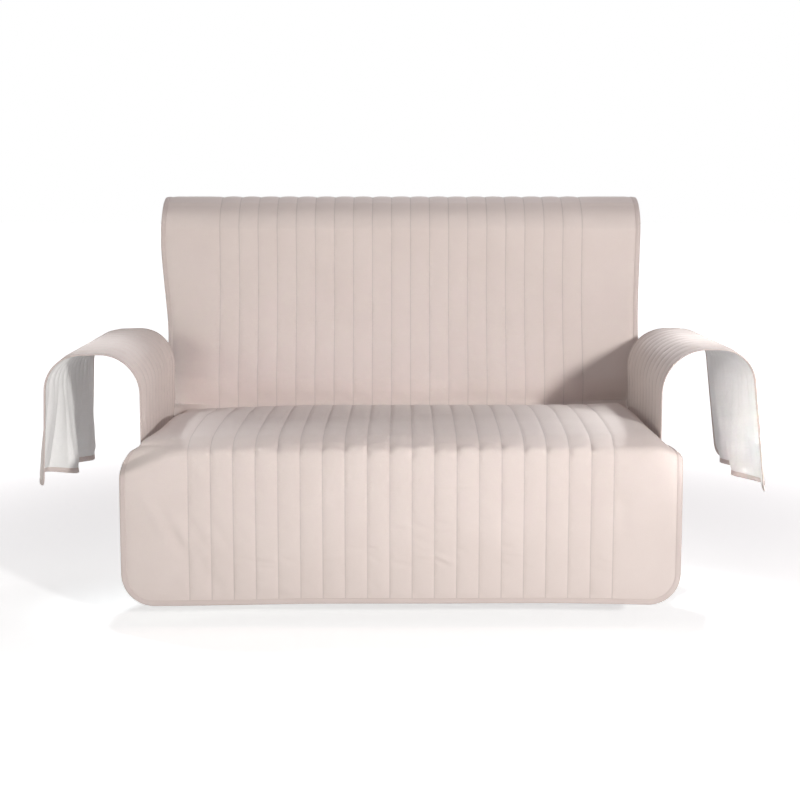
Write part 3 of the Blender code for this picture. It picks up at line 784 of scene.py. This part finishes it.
def lineStitches(surface, normals, heightAt, u, v, headU, headV):
    # stitches centred on flat places, each a long octahedron lying on the cloth along a flat heading
    small = 0.0012
    base, normal = surface(u, v), normals(u, v)
    ahead = surface(u + headU * small, v + headV * small) - surface(u - headU * small, v - headV * small)
    ahead = ahead / np.maximum(np.linalg.norm(ahead, axis=-1, keepdims=True), 1e-12)
    centres = base + normal * heightAt[..., None]
    thick = tape["stitchThick"]
    side = np.cross(ahead, normal) * thick
    ends = ahead * tape["stitchEvery"] * tape["stitchLong"] / 2.0
    sunkEnd = normal * thick * 0.6
    points = np.stack([centres - ends - sunkEnd, centres + side, centres + normal * thick,
                       centres - side, centres - normal * thick, centres + ends - sunkEnd], axis=1)
    pattern = np.array([(0, 2, 1), (0, 3, 2), (0, 4, 3), (0, 1, 4),
                        (5, 1, 2), (5, 2, 3), (5, 3, 4), (5, 4, 1)])
    faces = pattern[None] + 6 * np.arange(len(centres))[:, None, None]
    return points.reshape(-1, 3), faces.reshape(-1, 3)


def seamStitches(surface, normals, line, closed):  # along the tape's seam, at even distances
    right = edgeDirections(line, closed)
    seam = line + right * tape["seamAt"]
    run = distancesOn(seam)
    at = np.arange(tape["stitchEvery"], run[-1], tape["stitchEvery"])
    near = tape["stitchEvery"] / 2.0
    (u, v), after, before = (np.stack([np.interp(place, run, column) for column in seam.T])
                             for place in (at, at + near, at - near))
    ahead = (after - before) / np.linalg.norm(after - before, axis=0)
    return lineStitches(surface, normals, np.full_like(u, tape["seamHigh"]), u, v, *ahead)


def buildPanel(panel, u, v):
    # a panel's pieces over a grid of flat places: the face cloth with its wadding and the lining, each
    # between two levels over the underside, then the tape on its edge and the thread in its lines
    surface, normals = panel["surface"], panel["normals"]
    base, normal, height = surface(u, v), normals(u, v), panel["height"](u, v)
    flat = np.stack([u, v], axis=-1)
    drawn = sunkUnder(height)
    if panel["coarseBelow"]:   # every second row and column, at the deepest place beside each
        drawn = np.lib.stride_tricks.sliding_window_view(np.pad(drawn, 1, "edge"), (3, 3)).max(axis=(2, 3))
    kept = (slice(None, None, 2 if panel["coarseBelow"] else 1),) * 2

    def under(level, sunk):
        return (base + normal * (quilting[level] - sunk)[..., None])[kept]

    face, padding = base + normal * height[..., None], under("paddingLow", drawn)
    sunk = drawn + panel["inwards"](u, v)
    upper, lower = under("liningHigh", sunk), under("liningLow", sunk)
    name, outwards, closed = panel["name"], panel["outwards"], panel["closed"]
    woven = flat + (panel["shift"], 0.0)   # puts the painted shade lines on the stitch lines
    cover = sheetBetween(name + "Face", face, padding, woven, panel["cloth"], outwards)
    lining = sheetBetween(name + "Lining", upper, lower, flat[kept], liningCloth, outwards)
    ring = ringOf(flat) if closed else np.concatenate([flat[:-1, 0], flat[-1, :-1], flat[::-1, -1]])[::-1]
    sewn = ring - edgeDirections(ring, closed) * tape["sewnIn"]
    binding = tapeRound(name + "Tape", surface, normals, sewn, closed, tapeCloth, outwards)
    start, end = panel["stitched"]
    places = np.meshgrid(panel["lines"], np.arange(start, end, tape["stitchEvery"]))
    across, along = (part.ravel() for part in places)
    lifted = panel["height"](across, along) + quilting["stitchLift"]
    quilted = lineStitches(surface, normals, lifted, across, along, 0.0, 1.0)
    seam = seamStitches(surface, normals, sewn, closed)
    thread = threadPiece(name + "Thread", [quilted, seam], threadCloth)
    print(name, "faces", len(cover.data.polygons), "thread", len(thread.data.polygons))
    return cover, lining, binding, thread


mainPieces = buildPanel({
    "name": "main", "surface": mainSurface, "normals": mainNormals, "height": mainHeight,
    "inwards": lambda across, along: 0.0, "outwards": 1.0, "closed": True, "coarseBelow": True,
    "shift": 0.0, "cloth": faceCloth,
    "stitched": (quilting["stitchedTo"], mainLength - quilting["stitchedTo"]),
    "lines": np.arange(quilting["mainLines"]) * quilting["pitch"] - mainReach,
}, *mainGrid())

# arm panels

armPanel = {
    "front": 0.077,
    "rear": 0.645,
    "backClearance": 0.0070,
    "creaseClearance": 0.026,     # more of it below, from the first height to the second
    "creaseFrom": 0.388,
    "creaseTo": 0.420,
    "freeOver": 0.03,
    "cornerRadius": 0.032,
    "flapDrop": 0.225,
    "flapGrowth": 1.4,
    "quilted": (0.030, 0.075),    # around, where the channels begin
    "loft": (0.20, 1.40, 0.45),   # in all places, more at the top, more on the flap
    "topAt": 0.30,
    "topWide": 0.10,
    "flapOver": 0.08,
    "stitchedFrom": 0.050,
    "pinch": 1.6,                 # the thread pulls in more at the top
    "pucker": (0.8, 0.8),
    "liningFree": (0.030, 0.100),
    "liningSwell": (1.8, 2.4),    # loft and pucker of the lining
}
armDepth = armPanel["rear"] - armPanel["front"]
armReach = (quilting["armLines"] - 1) / 2.0 * quilting["pitch"]

# tables in millimetres; section: from the inner edge over the top to the hem, columns: x, z,
# radius, bow; flap: columns: y, the hem's swing outwards, its rise
# folds: long soft folds of the whole sheet, columns: along and around at the top, the same at the
# hem, width, height
leftArm = {
    "name": "leftArm",
    "mirror": -1.0,
    "climb": 0.012,
    "section": (
        (568.6, 360, 0, 0), (568.6, 396, 0, 0), (569, 581.5, 87, 0), (773, 576.5, 79, 0),
        (779, 280, 0, 0)),
    "flap": (
        (77, 1, 2), (130, 20, 16), (200, 26, 22), (280, -18, 6), (350, -20, -4), (420, 16, -6),
        (500, 24, -8), (570, -12, -10), (645, 6, -12)),
    "folds": (
        (50, 460, 30, 660, 12, 4.6), (85, 440, 100, 660, 14, -5.1), (150, 450, 140, 660, 10, 4.2),
        (185, 460, 205, 660, 16, -5.5), (255, 440, 250, 660, 12, 4.6), (320, 460, 345, 660, 14, -4.6),
        (400, 450, 395, 660, 12, 4.6), (470, 460, 480, 660, 12, -4.2)),
    "seed": 31,
}
rightArm = {
    "name": "rightArm",
    "mirror": 1.0,
    "climb": 0.001,
    "section": (
        (568.6, 360, 0, 0), (568.6, 396, 0, 0), (569, 590.5, 97, 0), (762, 590.5, 77, 0),
        (795, 275, 0, 0)),
    "flap": (
        (77, 0, -4), (150, 14, 4), (205, 22, 2), (265, -26, 6), (330, -14, 2), (415, 24, -2),
        (485, -16, 2), (560, 20, -2), (645, 2, -4)),
    "folds": (
        (35, 440, 45, 680, 10, -4.6), (75, 430, 80, 680, 10, 4.6), (120, 450, 135, 680, 12, -5.1),
        (160, 440, 175, 680, 9, 4.2), (225, 450, 220, 680, 12, -4.6), (270, 440, 290, 680, 12, 4.6),
        (350, 460, 340, 680, 14, -5.1), (430, 450, 445, 680, 12, 4.6), (500, 460, 490, 680, 12, -4.2)),
    "seed": 47,
}


def backFace(height):  # depth of the main panel's underside on the back at a height
    points = mainPath[0][mainPath[1] >= backFootAt]
    points = points[: int(np.argmax(points[:, 1])) + 1]
    return np.interp(height, points[:, 1], points[:, 0])


def buildArm(arm):
    section, flap, foldTable = metres(arm["section"]), metres(arm["flap"]).T, metres(arm["folds"])
    path = roundedPath(section, 0.004)
    girth = path[1][-1]
    innerX, innerZ, innerRadius = section[2, :3]

    def surface(along, around):
        # over the section at its distance around, stretched along it to the main panel's back; past
        # the top each column swings and rises by the flap's table, more towards the hem
        side, height = onPath(path, around)
        low = 1.0 - smoothStep(armPanel["creaseFrom"], armPanel["creaseTo"], height)
        rear = backFace(height) - armPanel["backClearance"] - armPanel["creaseClearance"] * low
        start = innerX + innerRadius
        free = smoothStep(start - armPanel["freeOver"], start + armPanel["freeOver"], side)
        rear = np.minimum(armPanel["rear"], rear) * (1.0 - free) + armPanel["rear"] * free
        depth = armPanel["front"] + along / armDepth * (rear - armPanel["front"])
        hang = np.clip((around - girth + armPanel["flapDrop"]) / armPanel["flapDrop"], 0.0, 1.1)
        hang = hang ** armPanel["flapGrowth"]
        swing, rise = softCurve(flap[0], flap[1], depth), softCurve(flap[0], flap[2], depth)
        climbed = arm["climb"] * smoothStep(armPanel["creaseTo"], innerZ, height) * along / armDepth
        folds = creaseField(along, around, foldTable)
        return np.stack([(side + swing * hang + folds) * arm["mirror"], depth,
                         height + rise * hang + climbed], axis=-1)

    def normals(along, around):
        return surfaceNormals(surface, along, around, ((0.0, armDepth), (0.0, girth)), -arm["mirror"])

    def toEdge(along, around):  # distance to the nearest taped edge
        return np.minimum(np.minimum(along, armDepth - along), girth - around)

    def quilted(along, around, loft, seed, pinch=1.0):
        return quiltRelief(along - armDepth / 2.0, around, quilting["armLines"], loft, girth, seed, pinch)

    def height(along, around):
        # channels that are fullest at the top and begin only past the inner edge
        atTop = np.exp(-((around - armPanel["topAt"]) / armPanel["topWide"]) ** 2)
        start = girth - armPanel["flapDrop"]
        loft = armPanel["loft"][0] + armPanel["loft"][1] * atTop + (
            armPanel["loft"][2] * smoothStep(start, start + armPanel["flapOver"], around))
        begun = smoothStep(*armPanel["quilted"], around)
        raised, pucker = quilted(along, around, loft, arm["seed"], 1.0 + armPanel["pinch"] * atTop)
        raised = quilting["atStitch"] + (raised - quilting["atStitch"]) * begun
        pucker = pucker * begun * (armPanel["pucker"][0] + armPanel["pucker"][1] * atTop)
        return underTape(raised + pucker, toEdge(along, around))

    def inwards(along, around):  # the lining swells the other way between the lines
        loft, share = armPanel["liningSwell"]
        raised, pucker = quilted(along, around, loft, arm["seed"] + 5)
        swell = np.maximum(raised - quilting["atStitch"] + share * pucker, 0.0)
        swell = swell * smoothStep(*armPanel["liningFree"], around)
        return swell * smoothStep(tape["wide"], tape["wide"] + 0.020, toEdge(along, around))

    pieces = buildPanel({
        "name": arm["name"], "surface": surface, "normals": normals, "height": height,
        "inwards": inwards, "outwards": -arm["mirror"], "closed": False, "coarseBelow": False,
        "shift": (quilting["pitch"] - armDepth) / 2.0, "cloth": armClothMoreShade,
        "stitched": (armPanel["stitchedFrom"], girth - quilting["stitchedTo"]),
        "lines": np.arange(quilting["armLines"]) * quilting["pitch"] - armReach + armDepth / 2.0,
    }, *armGrid(girth))
    return pieces, girth


def armGrid(girth):
    # columns as on the main panel, even rows, and round corners at the hem alone
    radius, reach = armPanel["cornerRadius"], armReach
    edge = armDepth / 2.0 - coverEdge
    border = np.array([*besideLine, 0.020, edge - 0.0106 - reach, edge - 0.006 - reach, edge - reach])
    border = border[np.append(np.diff(border) > 0.001, True)]
    places = oddCount(quiltPlaces(quilting["armLines"], border))
    turn = np.linspace(math.pi / 2.0, 0.0, 9)
    ends = girth - coverEdge - (radius - coverEdge) * (1.0 - np.cos(turn))
    upper = regionRows(((girth - radius, 0.0050),))[:-1]
    along, around = np.meshgrid(places, oddCount(np.concatenate([upper, ends])))
    limit = cornerLimit(armDepth / 2.0, radius, around - girth + radius)
    return spreadBorder(along, reach, edge, limit) + armDepth / 2.0, around


leftPieces, leftGirth = buildArm(leftArm)
rightPieces, rightGirth = buildArm(rightArm)

# the imported panels and bindings are hidden, and each piece is attached to the root body

mainCut = (2.0 * (mainPanel["half"] - coverEdge), mainLength - 2.0 * coverEdge)
leftCut = (armDepth - 2.0 * coverEdge, leftGirth - coverEdge)
rightCut = (armDepth - 2.0 * coverEdge, rightGirth - coverEdge)
for pieces, node, cut in ((leftPieces, "left_arm", leftCut), (rightPieces, "right_arm", rightCut),
                          (mainPieces, "main", mainCut)):
    cover, lining, binding, thread = pieces
    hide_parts(node + "_panel")
    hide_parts(node + "_binding")
    for piece, slotName in ((cover, "quilted_cloth"), (lining, "lining"),
                            (binding, "binding_tape"), (thread, "sewing_thread")):
        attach(piece, "root")

# floor, light and camera

studio = {
    "floorColour": (0.94, 0.94, 0.94, 1.0),
    "floorHalf": 60.0,
    # the floor's own glow near the cover and further out, where it runs into the white backdrop
    "glowNear": 0.44,
    "glowFar": 1.0,
    "glowFrom": 0.8,
    "glowTo": 2.4,
    "skyColour": (1.0, 0.88, 0.94, 1.0),
    "skyStrength": 0.222,
    "backdropStrength": 1.0,
    # lamps; columns: name, place, aim, size across, size up, degrees of spread, watts, colour
    "lamps": (
        ("keyLight", (2.22, -3.85, 1.40), (0.0, 0.30, 0.35), 0.34, 0.34, 180.0, 135.0, (1.0, 1.0, 0.972)),
        ("keyBand", (1.30, -4.40, 0.90), (0.0, 0.20, 0.49), 1.60, 0.10, 12.0, 0.355, (0.97, 1.0, 0.97)),
        ("sideFill", (-4.0, -1.0, 1.4), (0.0, 0.30, 0.40), 1.50, 1.50, 180.0, 32.5, (0.89, 1.0, 0.92)),
        ("backLight", (0.20, 2.70, 2.50), (0.0, 0.30, 0.60), 1.60, 0.90, 70.0, 4.8, (0.98, 0.98, 1.0)),
        ("leftRim", (-1.90, 1.00, 2.30), (-0.79, 0.30, 0.57), 0.20, 0.20, 16.0, 0.34, (0.90, 0.97, 1.0)),
        ("rightRim", (1.80, 1.00, 2.30), (0.77, 0.33, 0.56), 0.20, 0.20, 20.0, 0.74, (0.92, 0.98, 1.0)),
        ("rightSnoot", (-0.70, -3.40, 0.50), (0.87, 0.25, 0.40), 0.05, 0.05, 6.5, 0.285, (1.0, 0.98, 0.96)),
        ("rearFill", (-0.60, 3.60, 0.60), (0.0, 0.87, 0.72), 0.60, 0.60, 60.0, 1.7, (1.0, 1.0, 0.90)),
    ),
}


def buildFloor():
    # pale, with a glow for the camera alone that grows with the distance from the cover's middle
    half = studio["floorHalf"]
    mesh = bpy.data.meshes.new("floor")
    corners = [(-half, -half, 0.0), (half, -half, 0.0), (half, half, 0.0), (-half, half, 0.0)]
    mesh.from_pydata(toRow(np.array(corners)), [], [(0, 1, 2, 3)])
    floor = bpy.data.objects.new("floor", mesh)
    bpy.context.scene.collection.objects.link(floor)
    material, tree, shader = nodeMaterial("paleFloor")
    shader.inputs["Base Color"].default_value = studio["floorColour"]
    shader.inputs["Roughness"].default_value = 0.9
    shader.inputs["Specular IOR Level"].default_value = 0.1
    shader.inputs["Emission Color"].default_value = (1.0, 1.0, 1.0, 1.0)
    place = addNode(tree, "TexCoord").outputs["Object"]
    level = addNode(tree, "VectorMath", {0: place, 1: (1.0, 1.0, 0.0)}, operation="MULTIPLY")
    away = addNode(tree, "VectorMath", {0: level.outputs["Vector"]}, operation="LENGTH").outputs["Value"]
    glow = fadeOn(tree, away, *(studio[key] for key in ("glowFrom", "glowTo", "glowNear", "glowFar")))
    seen = addNode(tree, "LightPath").outputs["Is Camera Ray"]
    tree.links.new(mathNode(tree, "MULTIPLY", glow, seen), shader.inputs["Emission Strength"])
    mesh.materials.append(material)


def buildSky():  # a soft even light, with a plain white backdrop where the camera looks straight at it
    world = bpy.data.worlds.new("softRoom")
    bpy.context.scene.world = world
    world.use_nodes = True
    tree = world.node_tree
    sky = tree.nodes["Background"]
    sky.inputs["Color"].default_value = studio["skyColour"]
    sky.inputs["Strength"].default_value = studio["skyStrength"]
    white = {"Color": (1.0, 1.0, 1.0, 1.0), "Strength": studio["backdropStrength"]}
    backdrop = addNode(tree, "Background", white)
    seen = addNode(tree, "LightPath").outputs["Is Camera Ray"]
    shown = {"Fac": seen, 1: sky.outputs["Background"], 2: backdrop.outputs["Background"]}
    mix = addNode(tree, "MixShader", shown)
    tree.links.new(mix.outputs["Shader"], tree.nodes["World Output"].inputs["Surface"])


def addLamp(name, place, aim, across, up, spread, watts, colour):
    light = bpy.data.lights.new(name, "AREA")
    light.shape = "ELLIPSE"
    light.size = across
    light.size_y = up
    light.spread = math.radians(spread)
    light.energy = watts
    light.color = colour
    lamp = bpy.data.objects.new(name, light)
    bpy.context.scene.collection.objects.link(lamp)
    place, aim = toRow(np.array(place)), toRow(np.array(aim))
    lamp.location = place
    lamp.rotation_euler = Vector(aim - place).to_track_quat("-Z", "Y").to_euler()


view = {
    "place": (0.0, -3.375, 0.912),
    "tiltDown": 7.1,
    "lens": 72.0,
    "sensor": 36.0,
    "shiftX": -0.00125,
}


def buildCamera():
    data = bpy.data.cameras.new("camera")
    data.lens = view["lens"]
    data.sensor_width = view["sensor"]
    data.shift_x = view["shiftX"]
    camera = bpy.data.objects.new("camera", data)
    bpy.context.scene.collection.objects.link(camera)
    camera.location = toRow(np.array(view["place"]))
    camera.rotation_euler = (math.radians(90.0 - view["tiltDown"]), 0.0, 0.0)
    bpy.context.scene.camera = camera


buildFloor()
buildSky()
for lampRow in studio["lamps"]:
    addLamp(*lampRow)
buildCamera()
bpy.context.scene.view_settings.view_transform = "Standard"
print("studio and camera set")
